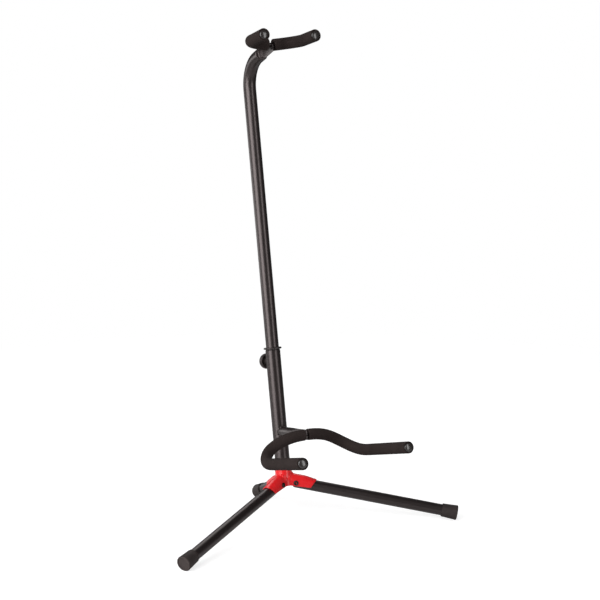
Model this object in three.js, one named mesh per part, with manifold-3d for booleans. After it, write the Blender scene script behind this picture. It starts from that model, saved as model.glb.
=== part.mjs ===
// A folding tubular guitar stand: a post that leans back on three hinged legs, a padded cradle
// for the guitar's body, and a sliding mast with a padded yoke for its neck.
// Millimetres, +Z up. The front of the stand faces -Y. "Left" and "right" are as seen from the front.

import * as THREE from "three";
import { mergeVertices } from "three/addons/utils/BufferGeometryUtils.js";
import Module from "manifold-3d";

// Driving dimensions of the post. Heights are measured along the post, upwards from the point
// where the axes of the three legs meet the post's own axis.
const postRadius = 12.7;
const postWall = 1.2;
const postBottom = 0.3;
const postTop = 222.9;

// The mast that slides in the post, with its bent and flattened top.
const mastRadius = 11;
const mastWall = 1.2;
const mastBottom = 137;
const mastBendRadius = 48;
const mastBendAngle = THREE.MathUtils.degToRad(81.3);
const mastFlatStart = 24.5;
const mastFlatLength = 28.6;
const mastEndPastRod = 7.5;
const mastBelowRod = 1.2;
const mastFlatHalfHeight = 12;
const saddleLength = 9;

// The plastic collar on the post's top edge: a narrow neck below a wide flange.
const collarNeckHeight = 2.2;
const collarNeckRadius = 12.2;
const collarHeight = 4.6;
const collarRadius = 14.8;
const collarEdge = 0.7;

// The thumbscrew behind the post.
const clampHeight = 204;
const bossRadius = 7;
const bossEnd = 17.5;
const screwRadius = 3;
const knobStart = 18.4;
const knobNeckRadius = 6.5;
const knobNeckLength = 4.2;
const knobThickness = 13.2;
const knobRadius = 13.5;
const knobEdge = 1.2;
const knobSocketDepth = 9;

// The rods, their foam sleeves and end caps are alike on the cradle and on the yoke.
const rodRadius = 4;
const foamRadius = 9.5;
const cradleSleeveGap = 5;
const yokeSleeveGap = 8.6;
const capHeadRadius = 7.4;
const capHeadDepth = 2.6;
const capDome = 1.4;
const capCupRadius = 5.4;
const capCupDepth = 12;

// The cradle: reach is measured forwards from the post's axis, spread sideways. Each arm leaves
// the straight middle, passes a shoulder and turns forwards at a corner. Their places, and the
// tip's, are given from the middle.
const cradleReach = 97.3;
const cradleHeight = 83.1;
const cradleStraight = 31.7;
const cradleShoulderSpread = 66.6;
const cradleShoulderBack = 10.7;
const cradleShoulderDrop = 18;
const cradleCornerSpread = 86.6;
const cradleCornerForward = 18.7;
const cradleCornerDrop = 35.6;
const cradleTipSpread = 93;
const cradleTipForward = 167.3;
const cradleTipDrop = 22;
const cradleStraightRadius = 88;
const cradleShoulderRadius = 26;
const cradleCornerRadius = 55;

// The bracket between the post and the cradle is a tube whose front end is pressed flat.
const bracketRadius = 9;
const bracketWall = 1.2;
const bracketHeight = 82.9;
const bracketFlatStart = 38;
const bracketFlatLength = 45;
const bracketEndPastRod = 6.5;
const bracketFlatHalfHeight = 8;

// The yoke. Its corners and tips are also given from its middle.
const yokeReach = 93.5;
const yokeHeight = 726.4;
const yokeCornerSpread = 39;
const yokeCornerRise = 4.8;
const yokeArmSpread = 43.9;
const yokeArmForward = 27.5;
const yokeArmRise = 1.9;
const yokeTipSpread = 46;
const yokeTipForward = 73.3;
const yokeTipRise = 0.6;
const yokeMiddleRadius = 12;
const yokeCornerRadius = 21.2;
const yokeArmRadius = 27.4;

// The hub and the legs. Lengths along a leg start at the post's axis.
const legDrop = THREE.MathUtils.degToRad(15.4);
const legRadius = 9.5;
const legWall = 1.2;
const legStart = 16.8;
const frontLegLength = 299.8;
const rearLegLength = 116.2;
const pivotAlong = 21.5;
const hubSleeveWall = 1.4;
const hubSleeveHeight = 28;
const bracketSideGap = 0.5;
const channelWall = 1.5;
const channelCorner = 10;
const channelTopLength = 54.8;
const channelBottomLength = 47.6;
const channelDepthInner = 6.6;
const channelDepthOuter = 4;
const rivetRadius = 2.5;
const rivetBore = 1.3;
const rivetHeadRadius = 4.3;
const rivetHeadHeight = 1.8;

// The rubber foot caps.
const footLength = 30.5;
const footStartRadius = 10.5;
const footEndRadius = 12.8;
const footEdge = 1.2;
const footBase = 3;
const footFlatDepth = 1.2;

// Clearance between pieces that touch, and the overrun of cutting tools.
const clearance = 0.3;
const overrun = 2;

// How finely round shapes are divided.
const tubeSides = 24;
const foamSides = 16;
const rodSides = 10;
const smallSides = 16;
const arcStep = THREE.MathUtils.degToRad(11);
const straightTurn = THREE.MathUtils.degToRad(0.5);
const cornerSteps = 6;
const pressSteps = 6;

const paint = {
  tube: { color: 0x262221, roughness: 0.38, metalness: 0.3 },
  hub: { color: 0xe01b22, roughness: 0.3, metalness: 0 },
  foam: { color: 0x3a3231, roughness: 0.95, metalness: 0 },
  gloss: { color: 0x161414, roughness: 0.15, metalness: 0 },
  rubber: { color: 0x55504e, roughness: 0.8, metalness: 0 },
  rod: { color: 0x2a2726, roughness: 0.35, metalness: 0.6 },
  rivet: { color: 0x3b3838, roughness: 0.3, metalness: 0.9 },
  plastic: { color: 0x2b2827, roughness: 0.5, metalness: 0 },
};

const X = new THREE.Vector3(1, 0, 0);

const wasm = await Module();
wasm.setup();

// Turns a closed geometry into a solid that can be cut or joined.
function solidOf(geometry) {
  const bare = geometry.clone();
  bare.deleteAttribute("normal");
  bare.deleteAttribute("uv");
  const merged = mergeVertices(bare);
  const vertProperties = new Float32Array(merged.attributes.position.array);
  const triVerts = new Uint32Array(merged.index.array);
  return new wasm.Manifold(new wasm.Mesh({ numProp: 3, vertProperties, triVerts }));
}

function geometryOf(solid) {
  const mesh = solid.getMesh();
  const geometry = new THREE.BufferGeometry();
  geometry.setAttribute("position", new THREE.BufferAttribute(new Float32Array(mesh.vertProperties), 3));
  geometry.setIndex(new THREE.BufferAttribute(new Uint32Array(mesh.triVerts), 1));
  geometry.computeVertexNormals();
  return geometry;
}

function cut(geometry, ...tools) {
  const rest = tools.reduce((solid, tool) => solid.subtract(solidOf(tool)), solidOf(geometry));
  return geometryOf(rest);
}

// The corners of a regular polygon. An outer one has its corners on the circle, an inner one its sides.
function circle(radius, sides, inner = false) {
  const reach = inner ? radius / Math.cos(Math.PI / sides) : radius;
  const corner = (i) => {
    const angle = ((i + 0.5) * 2 * Math.PI) / sides;
    return new THREE.Vector2(reach * Math.cos(angle), reach * Math.sin(angle));
  };
  return Array.from({ length: sides }, (_, i) => corner(i));
}

function ring(outer, inner, sides, innerSides = sides) {
  const shape = new THREE.Shape(circle(outer, sides));
  if (inner > 0) shape.holes.push(new THREE.Path(circle(inner, innerSides, true).reverse()));
  return shape;
}

// A path of straight runs joined by arcs. Each station has a place, a direction and its length so far.
function roundedPath(corners, radii) {
  const stations = [];
  const add = (place, along) => {
    const last = stations.at(-1);
    const length = last ? last.length + last.place.distanceTo(place) : 0;
    stations.push({ place: place.clone(), along: along.clone(), length });
  };
  const direction = (from, to) => to.clone().sub(from).normalize();
  add(corners[0], direction(corners[0], corners[1]));
  for (let i = 1; i < corners.length - 1; i += 1) {
    const before = direction(corners[i - 1], corners[i]);
    const after = direction(corners[i], corners[i + 1]);
    const turn = before.angleTo(after);
    if (turn < straightTurn) continue;
    const radius = radii[i - 1];
    const axis = before.clone().cross(after).normalize();
    const start = corners[i].clone().addScaledVector(before, -radius * Math.tan(turn / 2));
    const centre = start.clone().addScaledVector(axis.clone().cross(before), radius);
    const steps = Math.max(2, Math.ceil(turn / arcStep));
    for (let k = 0; k <= steps; k += 1) {
      const angle = (turn * k) / steps;
      const place = start.clone().sub(centre).applyAxisAngle(axis, angle).add(centre);
      add(place, before.clone().applyAxisAngle(axis, angle));
    }
  }
  add(corners.at(-1), direction(corners.at(-2), corners.at(-1)));
  return stations;
}

// Puts extra stations on a path's straight end, at the given distances before its end.
function withStations(path, distances) {
  const end = path.at(-1);
  const extra = distances.map((distance) => ({
    place: end.place.clone().addScaledVector(end.along, -distance),
    along: end.along,
    length: end.length - distance,
  }));
  return [...path, ...extra].sort((a, b) => a.length - b.length);
}

// Sweeps a section along a path. The section is extruded straight, with one layer for each
// station, and every layer is then pressed and set on its station.
function sweep(path, section, side, press = (point) => point) {
  const layers = path.length - 1;
  const geometry = new THREE.ExtrudeGeometry(section, { depth: layers, steps: layers, bevelEnabled: false });
  let across = side.clone();
  const frames = path.map(({ place, along, length }) => {
    across = across.clone().addScaledVector(along, -across.dot(along)).normalize();
    return { place, length, across, up: along.clone().cross(across) };
  });
  const position = geometry.attributes.position;
  for (let i = 0; i < position.count; i += 1) {
    const frame = frames[Math.round(position.getZ(i))];
    const point = press(new THREE.Vector2(position.getX(i), position.getY(i)), frame.length);
    const spot = frame.place.clone().addScaledVector(frame.across, point.x).addScaledVector(frame.up, point.y);
    position.setXYZ(i, spot.x, spot.y, spot.z);
  }
  return geometry;
}

// A cylinder along a direction that starts at a point.
function cylinder(radius, length, start, along, sides = smallSides) {
  const geometry = new THREE.CylinderGeometry(radius, radius, length, sides);
  const turn = new THREE.Quaternion().setFromUnitVectors(new THREE.Vector3(0, 1, 0), along);
  const middle = start.clone().addScaledVector(along, length / 2);
  return geometry.applyQuaternion(turn).translate(middle.x, middle.y, middle.z);
}

// A turned piece. Its profile is a closed list of [radius, height], and it stands along a direction.
function turned(profile, sides, start, along) {
  const points = [...profile, profile[0]].map(([radius, height]) => new THREE.Vector2(radius, height));
  const geometry = new THREE.LatheGeometry(points, sides);
  const turn = new THREE.Quaternion().setFromUnitVectors(new THREE.Vector3(0, 1, 0), along);
  return geometry.applyQuaternion(turn).translate(start.x, start.y, start.z);
}

function box(size, centre) {
  return new THREE.BoxGeometry(size.x, size.y, size.z).translate(centre.x, centre.y, centre.z);
}

function mesh(name, geometry, look) {
  const made = new THREE.Mesh(geometry, new THREE.MeshStandardMaterial(look));
  made.name = name;
  return made;
}

// A point in the post's own frame: sideways, forwards from the post's axis, and up along it.
const point = (sideways, forwards, height) => new THREE.Vector3(sideways, -forwards, height);

const forward = new THREE.Vector3(0, -1, 0);
const backward = new THREE.Vector3(0, 1, 0);
const upward = new THREE.Vector3(0, 0, 1);

const smooth = (share) => {
  const t = THREE.MathUtils.clamp(share, 0, 1);
  return t * t * (3 - 2 * t);
};

// Presses a tube's section together sideways. At share 1 it is an upright tongue of the given
// half height, two walls thick, with a narrow slit left between the walls.
function pressFlat(spot, share, radius, wall, halfHeight) {
  const inset = spot.length() < radius - wall / 2 ? wall : 0;
  const slit = clearance / 2;
  const halfWidth = THREE.MathUtils.lerp(radius, wall + slit, share) - inset;
  const halfTall = THREE.MathUtils.lerp(radius, halfHeight, share) - inset;
  const unit = spot.clone().normalize();
  return new THREE.Vector2(unit.x * halfWidth, unit.y * halfTall);
}

// The post, and the collar on its top edge.
function makePost() {
  const path = [postBottom, postTop].map((height) => ({ place: point(0, 0, height), along: upward, length: height }));
  const tube = sweep(path, ring(postRadius, postRadius - postWall, tubeSides), X);
  const hole = cylinder(screwRadius + clearance, postRadius + overrun, point(0, 0, clampHeight), backward);
  const bore = mastRadius + clearance;
  const collar = turned(
    [
      [bore, 0],
      [collarNeckRadius, 0],
      [collarNeckRadius, collarNeckHeight],
      [collarRadius - collarEdge, collarNeckHeight],
      [collarRadius, collarNeckHeight + collarEdge],
      [collarRadius, collarHeight - collarEdge],
      [collarRadius - collarEdge, collarHeight],
      [bore, collarHeight],
    ],
    tubeSides,
    point(0, 0, postTop + clearance),
    upward,
  );
  return [
    mesh("lower_tube", cut(tube, hole), paint.tube),
    mesh("tube_collar", collar, paint.plastic),
  ];
}

// The boss that is welded behind the post, with the thumbscrew in it.
function makeClamp() {
  const at = point(0, 0, clampHeight);
  const boss = cut(
    cylinder(bossRadius, bossEnd, at, backward),
    cylinder(postRadius + clearance, 4 * bossRadius, point(0, 0, clampHeight - 2 * bossRadius), upward, tubeSides),
    cylinder(screwRadius + clearance, bossEnd + overrun, at, backward),
  );
  const screwStart = mastRadius + clearance;
  const screwEnd = knobStart + knobSocketDepth - clearance;
  const screw = cylinder(screwRadius, screwEnd - screwStart, point(0, -screwStart, clampHeight), backward);
  const socket = screwRadius + clearance;
  const knob = turned(
    [
      [socket, 0],
      [knobNeckRadius, 0],
      [knobNeckRadius, knobNeckLength],
      [knobRadius - knobEdge, knobNeckLength],
      [knobRadius, knobNeckLength + knobEdge],
      [knobRadius, knobThickness - knobEdge],
      [knobRadius - knobEdge, knobThickness],
      [0, knobThickness],
      [0, knobSocketDepth],
      [socket, knobSocketDepth],
    ],
    tubeSides,
    point(0, -knobStart, clampHeight),
    backward,
  );
  return [
    mesh("clamp_boss", boss, paint.tube),
    mesh("clamp_screw", screw, paint.rivet),
    mesh("clamp_knob", knob, paint.plastic),
  ];
}

// A hole or a saddle for a rod that runs sideways.
function rodTool(reach, height) {
  const wide = 4 * foamRadius;
  return cylinder(rodRadius + clearance, wide, point(-wide / 2, reach, height), X, tubeSides);
}

// The mast: straight, then bent forwards, then pressed to a tongue with a saddle for the yoke's rod.
function makeMast() {
  const rise = Math.PI / 2 - mastBendAngle;
  const bendTop = point(0, 0, yokeHeight - mastBelowRod - yokeReach * Math.tan(rise));
  const endReach = yokeReach + mastEndPastRod;
  const end = bendTop.clone().add(point(0, endReach, endReach * Math.tan(rise)));
  const bent = roundedPath([point(0, 0, mastBottom), bendTop, end], [mastBendRadius]);
  const flatEnd = bent.at(-1).length;
  const steps = Array.from({ length: pressSteps + 1 }, (_, i) => mastFlatStart + (mastFlatLength * i) / pressSteps);
  const press = (spot, length) => {
    const share = smooth((mastFlatLength + mastFlatStart - (flatEnd - length)) / mastFlatLength);
    return pressFlat(spot, share, mastRadius, mastWall, mastFlatHalfHeight);
  };
  const path = withStations(bent, steps);
  const tube = sweep(path, ring(mastRadius, mastRadius - mastWall, tubeSides), X, press);
  const above = box(
    new THREE.Vector3(4 * mastRadius, 4 * mastRadius, 4 * mastRadius),
    point(0, yokeReach - saddleLength + 2 * mastRadius, yokeHeight + 2 * mastRadius),
  );
  return mesh("upper_tube", cut(tube, rodTool(yokeReach, yokeHeight), above), paint.tube);
}

// Shortens a list of corners at its first or last end by a distance.
function shortened(corners, first, last) {
  const start = corners[0].clone().add(corners[1].clone().sub(corners[0]).setLength(first));
  const end = corners.at(-1).clone().add(corners.at(-2).clone().sub(corners.at(-1)).setLength(last));
  return [start, ...corners.slice(1, -1), end];
}

// A rod bent to both sides, with a foam sleeve and an end cap on each arm and a gap between the
// sleeves. The shape lists an arm's corners as [sideways, forwards, height], from middle to tip.
function makePaddedRod(name, shape, middleRadius, radii, sleeveGap) {
  const arm = (sign) => shape.map(([sideways, forwards, height]) => point(sign * sideways, forwards, height));
  const capInset = capHeadDepth + clearance;
  const whole = shortened([...arm(-1).slice(1).reverse(), ...arm(1)], capInset, capInset);
  const rodPath = roundedPath(whole, [...[...radii].reverse(), middleRadius, ...radii]);
  const pieces = [mesh(`${name}_rod`, sweep(rodPath, ring(rodRadius, 0, rodSides), upward), paint.rod)];
  const bore = rodRadius + clearance;
  for (const [side, sign] of Object.entries({ left: -1, right: 1 })) {
    const corners = shortened(arm(sign), sleeveGap / 2, 0);
    const distances = [capCupDepth + 2 * clearance, capCupDepth + clearance, capInset + clearance, capInset];
    const path = withStations(roundedPath(corners, radii), distances);
    const tip = path.at(-1);
    // The bore widens in two steps, for the cap's cup and for its head.
    const press = (spot, length) => {
      if (spot.length() > (bore + foamRadius) / 2) return spot;
      const left = tip.length - length;
      const inHead = left < capInset + clearance / 2;
      const inCup = left < capCupDepth + 1.5 * clearance;
      const wide = inHead ? capHeadRadius : capCupRadius;
      return inHead || inCup ? spot.clone().multiplyScalar((wide + clearance) / bore) : spot;
    };
    const foam = sweep(path, ring(foamRadius, bore, foamSides, rodSides), upward, press);
    const cap = turned(
      [
        [bore, -capCupDepth],
        [capCupRadius, -capCupDepth],
        [capCupRadius, -capHeadDepth],
        [capHeadRadius, -capHeadDepth],
        [capHeadRadius, -clearance],
        [capHeadRadius * domeShares[0][0], capDome * domeShares[0][1]],
        [capHeadRadius * domeShares[1][0], capDome * domeShares[1][1]],
        [0, capDome],
        [0, -capHeadDepth + clearance],
        [bore, -capHeadDepth + clearance],
      ],
      smallSides,
      tip.place,
      tip.along,
    );
    pieces.push(mesh(`${name}_foam_${side}`, foam, paint.foam), mesh(`${name}_cap_${side}`, cap, paint.gloss));
  }
  return pieces;
}

// Points on a cap's dome: the share of the head's radius and of the dome's height.
const domeShares = [
  [0.86, 0.45],
  [0.5, 0.86],
];

function makeCradle() {
  const shape = [
    [0, cradleReach, cradleHeight],
    [cradleStraight, cradleReach, cradleHeight],
    [cradleShoulderSpread, cradleReach - cradleShoulderBack, cradleHeight - cradleShoulderDrop],
    [cradleCornerSpread, cradleReach + cradleCornerForward, cradleHeight - cradleCornerDrop],
    [cradleTipSpread, cradleReach + cradleTipForward, cradleHeight - cradleTipDrop],
  ];
  const radii = [cradleStraightRadius, cradleShoulderRadius, cradleCornerRadius];
  return makePaddedRod("cradle", shape, cradleStraightRadius, radii, cradleSleeveGap);
}

function makeYoke() {
  const shape = [
    [0, yokeReach, yokeHeight],
    [yokeCornerSpread, yokeReach, yokeHeight + yokeCornerRise],
    [yokeArmSpread, yokeReach + yokeArmForward, yokeHeight + yokeArmRise],
    [yokeTipSpread, yokeReach + yokeTipForward, yokeHeight + yokeTipRise],
  ];
  return makePaddedRod("yoke", shape, yokeMiddleRadius, [yokeCornerRadius, yokeArmRadius], yokeSleeveGap);
}

// The bracket tube starts against the post. Its front end is pressed to an upright tongue that
// the cradle's rod passes through.
function makeCradleBracket() {
  const end = cradleReach + bracketEndPastRod;
  const reaches = [0, bracketFlatStart];
  for (let i = 1; i <= pressSteps; i += 1) reaches.push(bracketFlatStart + (bracketFlatLength * i) / pressSteps);
  reaches.push(end);
  const shareAt = (reach) => smooth((reach - bracketFlatStart) / bracketFlatLength);
  const path = reaches.map((reach) => {
    const height = THREE.MathUtils.lerp(bracketHeight, cradleHeight, shareAt(reach));
    return { place: point(0, reach, height), along: forward, length: reach };
  });
  const press = (spot, reach) =>
    pressFlat(spot, shareAt(reach), bracketRadius, bracketWall, bracketFlatHalfHeight);
  const tube = sweep(path, ring(bracketRadius, bracketRadius - bracketWall, tubeSides), X, press);
  const start = point(0, 0, bracketHeight - 2 * bracketRadius);
  const post = cylinder(postRadius + clearance, 4 * bracketRadius, start, upward, tubeSides);
  const behind = box(
    new THREE.Vector3(4 * bracketRadius, 2 * bracketRadius, 4 * bracketRadius),
    point(0, -bracketRadius, bracketHeight),
  );
  const rod = rodTool(cradleReach, cradleHeight);
  return mesh("cradle_bracket", cut(tube, post, behind, rod), paint.tube);
}

function makeHubSleeve() {
  const inner = postRadius + clearance;
  const path = [0, hubSleeveHeight].map((height) => ({ place: point(0, 0, height), along: upward, length: height }));
  return mesh("hub_sleeve", sweep(path, ring(inner + hubSleeveWall, inner, tubeSides), X), paint.hub);
}

// The legs stand at these angles around the post, counted from +X.
const legs = {
  left: { angle: -150, length: frontLegLength },
  right: { angle: -30, length: frontLegLength },
  rear: { angle: 90, length: rearLegLength },
};

// A leg's own frame: +X runs out along the leg and +Z is its upper side.
function legMatrix(angle) {
  const around = new THREE.Matrix4().makeRotationZ(THREE.MathUtils.degToRad(angle));
  return around.multiply(new THREE.Matrix4().makeRotationY(legDrop));
}

// The lean of the post that sets the end rims of the front and rear feet level.
function findLean() {
  const lowest = (lean, { angle, length }) => {
    const floorUp = new THREE.Vector3(0, -Math.sin(lean), Math.cos(lean));
    const along = X.clone().applyMatrix4(legMatrix(angle));
    const slope = floorUp.dot(along);
    return length * slope - footEndRadius * Math.sqrt(1 - slope * slope);
  };
  let low = 0;
  let high = Math.PI / 4;
  const halvings = 50;
  for (let i = 0; i < halvings; i += 1) {
    const lean = (low + high) / 2;
    if (lowest(lean, legs.right) < lowest(lean, legs.rear)) low = lean;
    else high = lean;
  }
  return { lean: low, floor: lowest(low, legs.rear) };
}

const { lean, floor } = findLean();

// Half of a channel's inside at its top, taken in by a margin: points from its middle round to its side.
function channelRoof(margin) {
  const half = legRadius + bracketSideGap;
  const middle = half - channelCorner;
  const radius = channelCorner - margin;
  const points = [new THREE.Vector2(0, half - margin)];
  for (let i = 0; i <= cornerSteps; i += 1) {
    const angle = (Math.PI / 2) * (1 - i / cornerSteps);
    points.push(new THREE.Vector2(middle + radius * Math.cos(angle), middle + radius * Math.sin(angle)));
  }
  return points;
}

// The channel that a leg folds out of: an upside-down U of sheet with round shoulders.
function makeChannel() {
  const line = (margin) => {
    const half = channelRoof(margin);
    const foot = new THREE.Vector2(half.at(-1).x, -channelDepthInner);
    const right = [foot, ...half.slice(1).reverse()];
    const left = right.map((spot) => new THREE.Vector2(-spot.x, spot.y)).reverse();
    return [...right, ...left];
  };
  const shape = new THREE.Shape([...line(-channelWall), ...line(0).reverse()]);
  const options = { depth: channelTopLength, steps: 1, bevelEnabled: false };
  const along = new THREE.Matrix4().makeBasis(new THREE.Vector3(0, 1, 0), upward, X);
  return new THREE.ExtrudeGeometry(shape, options).applyMatrix4(along);
}

// What a leg's inner end loses, so that it turns on its rivet under the channel's roof.
function endTool(side) {
  const half = channelRoof(clearance);
  const profile = half.map((spot) => [spot.y, spot.x]);
  const mirrored = half.slice(1).map((spot) => [spot.y, -spot.x]).reverse();
  const last = half.at(-1).x;
  const pivot = new THREE.Vector3(pivotAlong, 0, 0);
  const room = turned([[0, -last], ...mirrored, ...profile, [0, last]], tubeSides, pivot, side);
  const wide = 4 * legRadius;
  const block = box(new THREE.Vector3(wide, wide, wide), new THREE.Vector3(pivotAlong - wide / 2, 0, 0));
  return cut(block, room);
}

// What is cut from a channel: its slanted end, its rising lower edge, the hub's sleeve and the
// room of the channels beside it.
function channelTools() {
  const outer = legRadius + bracketSideGap + channelWall;
  const wide = 4 * outer;
  const slant = Math.atan2(channelTopLength - channelBottomLength, outer + channelDepthOuter);
  const end = box(new THREE.Vector3(wide, wide, 2 * wide), new THREE.Vector3(wide / 2, 0, 0));
  end.rotateY(slant).translate(channelTopLength, 0, outer);
  const edgeSlope = (channelDepthInner - channelDepthOuter) / (channelBottomLength - legStart);
  const edge = box(new THREE.Vector3(4 * channelTopLength, wide, wide), new THREE.Vector3(0, 0, -wide / 2));
  edge.rotateY(-Math.atan(edgeSlope)).translate(legStart, 0, -channelDepthInner);
  const toPost = new THREE.Matrix4().makeRotationY(-legDrop);
  const sleeveRadius = postRadius + hubSleeveWall + 2 * clearance;
  const sleeve = cylinder(sleeveRadius, wide, point(0, 0, -clearance), upward, tubeSides).applyMatrix4(toPost);
  const sides = [-1, 1].map((sign) => {
    const wedge = box(new THREE.Vector3(2 * wide, wide, 2 * wide), new THREE.Vector3(0, (sign * wide) / 2, 0));
    wedge.translate(0, (-sign * clearance) / 2, 0).rotateZ((sign * Math.PI) / 3);
    return wedge.applyMatrix4(toPost);
  });
  const centre = box(new THREE.Vector3(wide, wide, 2 * wide), new THREE.Vector3(-wide / 2, 0, 0)).applyMatrix4(toPost);
  return [end, edge, sleeve, ...sides, centre];
}

// A rubber cap over a leg's end, with a socket for the tube and a small flat where it stands.
function makeFoot(length, frame) {
  const socket = legRadius + clearance;
  const foot = turned(
    [
      [socket, 0],
      [footStartRadius - footEdge / 2, 0],
      [footStartRadius, footEdge / 2],
      [footEndRadius, footLength - footEdge],
      [footEndRadius - footEdge, footLength],
      [0, footLength],
      [0, footLength - footBase],
      [socket, footLength - footBase],
    ],
    tubeSides,
    new THREE.Vector3(length - footLength, 0, 0),
    X,
  );
  const toLeg = frame.clone().invert();
  const wide = 4 * footLength;
  const ground = box(new THREE.Vector3(wide, wide, wide), new THREE.Vector3(0, 0, -wide / 2));
  ground.translate(0, 0, floor + footFlatDepth).applyMatrix4(new THREE.Matrix4().makeRotationX(lean));
  const under = new THREE.Vector3(length, 0, 0).applyMatrix4(frame);
  const slide = under.clone().applyAxisAngle(X, -lean).setZ(0).applyAxisAngle(X, lean);
  ground.translate(slide.x, slide.y, slide.z).applyMatrix4(toLeg);
  return cut(foot, ground);
}

// A leg with its channel, its rivet and its foot.
function makeLeg(name, { angle, length }) {
  const frame = legMatrix(angle);
  const side = new THREE.Vector3(0, 1, 0);
  const outer = legRadius + bracketSideGap + channelWall;
  const holeStart = new THREE.Vector3(pivotAlong, -outer - overrun, 0);
  const hole = cylinder(rivetRadius + clearance, 2 * (outer + overrun), holeStart, side);
  const channel = cut(makeChannel(), ...channelTools(), hole);
  const stops = [legStart, length - footBase - clearance];
  const path = stops.map((along) => ({ place: new THREE.Vector3(along, 0, 0), along: X, length: along }));
  const tube = cut(sweep(path, ring(legRadius, legRadius - legWall, tubeSides), side), hole, endTool(side));
  const reach = outer + clearance;
  const rivet = turned(
    [
      [rivetBore, -reach - rivetHeadHeight],
      [rivetHeadRadius, -reach - rivetHeadHeight],
      [rivetHeadRadius, -reach],
      [rivetRadius, -reach],
      [rivetRadius, reach],
      [rivetHeadRadius, reach],
      [rivetHeadRadius, reach + rivetHeadHeight],
      [rivetBore, reach + rivetHeadHeight],
    ],
    smallSides,
    new THREE.Vector3(pivotAlong, 0, 0),
    side,
  );
  const leg = new THREE.Group();
  leg.applyMatrix4(frame);
  leg.add(
    mesh(`leg_bracket_${name}`, channel, paint.hub),
    mesh(`leg_rivet_${name}`, rivet, paint.rivet),
    mesh(`leg_tube_${name}`, tube, paint.tube),
    mesh(`foot_cap_${name}`, makeFoot(length, frame), paint.rubber),
  );
  return leg;
}

// The post's frame leans back, with everything on it.
const leaning = new THREE.Group();
leaning.rotation.x = -lean;
leaning.add(...makePost(), ...makeClamp(), makeMast(), ...makeYoke(), ...makeCradle());
leaning.add(makeCradleBracket(), makeHubSleeve());
for (const [name, leg] of Object.entries(legs)) leaning.add(makeLeg(name, leg));

// The stand rests on z = 0 with its origin under the middle of its outline.
const stand = new THREE.Group();
stand.add(leaning);
const extent = new THREE.Box3().setFromObject(stand, true);
leaning.position.set(0, -(extent.min.y + extent.max.y) / 2, -extent.min.z);

export default stand;
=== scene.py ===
"""A folding tubular guitar stand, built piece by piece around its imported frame."""

from functools import cache
from math import atan2, ceil, cos, pi, radians, sin, sqrt, tan

import bmesh
import bpy
from bmesh.types import BMEdge, BMVert
from bpy.props import FloatProperty, FloatVectorProperty, PointerProperty
from bpy.types import NodeSocket, Operator, Panel, PropertyGroup
from mathutils import Matrix, Vector


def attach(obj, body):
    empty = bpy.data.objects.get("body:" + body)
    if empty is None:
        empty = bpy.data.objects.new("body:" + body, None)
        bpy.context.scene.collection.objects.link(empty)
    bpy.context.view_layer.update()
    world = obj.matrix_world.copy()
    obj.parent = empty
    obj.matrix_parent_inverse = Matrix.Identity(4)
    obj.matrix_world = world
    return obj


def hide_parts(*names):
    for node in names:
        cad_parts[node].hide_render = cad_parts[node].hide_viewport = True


bl_info = {
    "name": "Guitar Stand",
    "version": (1, 0, 0),
    "blender": (4, 5, 0),
    "location": "View3D > Sidebar > Guitar Stand",
    "description": "Builds a folding tubular guitar stand: post, mast, cradle, yoke, hub and legs",
    "category": "Object",
}

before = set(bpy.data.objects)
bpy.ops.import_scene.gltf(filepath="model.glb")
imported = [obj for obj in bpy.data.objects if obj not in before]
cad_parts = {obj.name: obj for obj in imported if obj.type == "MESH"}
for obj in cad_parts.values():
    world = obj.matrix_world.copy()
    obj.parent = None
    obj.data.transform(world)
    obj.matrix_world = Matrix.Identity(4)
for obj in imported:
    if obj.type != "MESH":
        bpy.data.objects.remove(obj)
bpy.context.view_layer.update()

# The post leans back. Its own frame starts where the legs' axes meet the post's axis: +X is
# sideways, -Y is forwards, and +Z runs up along the post.
LEAN = radians(11.0136335)
HUB = Vector((0, 0.0555067, 0.0619551))
POST_FRAME = Matrix.Translation(HUB) @ Matrix.Rotation(-LEAN, 4, "X")

UP = Vector((0, 0, 1))
FORWARD = Vector((0, -1, 0))
BACK = -FORWARD
SIDEWAYS = Vector((1, 0, 0))
ALONG_LEG = Vector((1, 0, 0))
ACROSS_LEG = Vector((0, 1, 0))

# The legs' directions around the post, in degrees from +X.
LEG_ANGLES = {"left": -150, "right": -30, "rear": 90}
SIDES = {"left": -1, "right": 1}

TUBE_SIDES = 72
FOAM_SIDES = 64
ROD_SIDES = 32
SMALL_SIDES = 48
BEAD_SIDES = 14
ARC_STEP = radians(2.5)
STRAIGHT = radians(0.5)

# The room between two parts that touch, the rounding of a cut metal edge, and how near two points
# are to count as one.
GAP = 0.0003
CUT_EDGE = 0.0003
SAME_PLACE = 1e-7


# ---- sizes and colours


def mm(name, description, size):
    """A length for the panel, given in millimetres."""
    return FloatProperty(
        name=name, description=description, default=size / 1000, unit="LENGTH", precision=5, min=0
    )


def tint(name, description, rgb):
    """A colour for the panel."""
    return FloatVectorProperty(
        name=name, description=description, default=rgb, subtype="COLOR", size=3, min=0, max=1
    )


class TubeSizes(PropertyGroup):
    post_radius: mm("Post radius", "Outer radius of the post", 12.7)
    mast_radius: mm("Mast radius", "Outer radius of the mast", 11)
    leg_radius: mm("Leg radius", "Outer radius of the legs", 9.5)
    wall: mm("Tube wall", "Wall thickness of the tubes", 1.2)
    post_bottom: mm("Post bottom", "Start of the post, measured up from the hub", 0.3)
    post_top: mm("Post top", "End of the post, measured up from the hub", 222.9)
    mast_bottom: mm("Mast bottom", "Lower end of the mast inside the post", 137)
    mast_bend: mm("Mast bend", "Radius of the bend at the mast's top", 48)
    front_leg: mm("Front leg", "Length of a front leg from the post's axis", 299.8)
    rear_leg: mm("Rear leg", "Length of the rear leg from the post's axis", 116.2)


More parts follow.
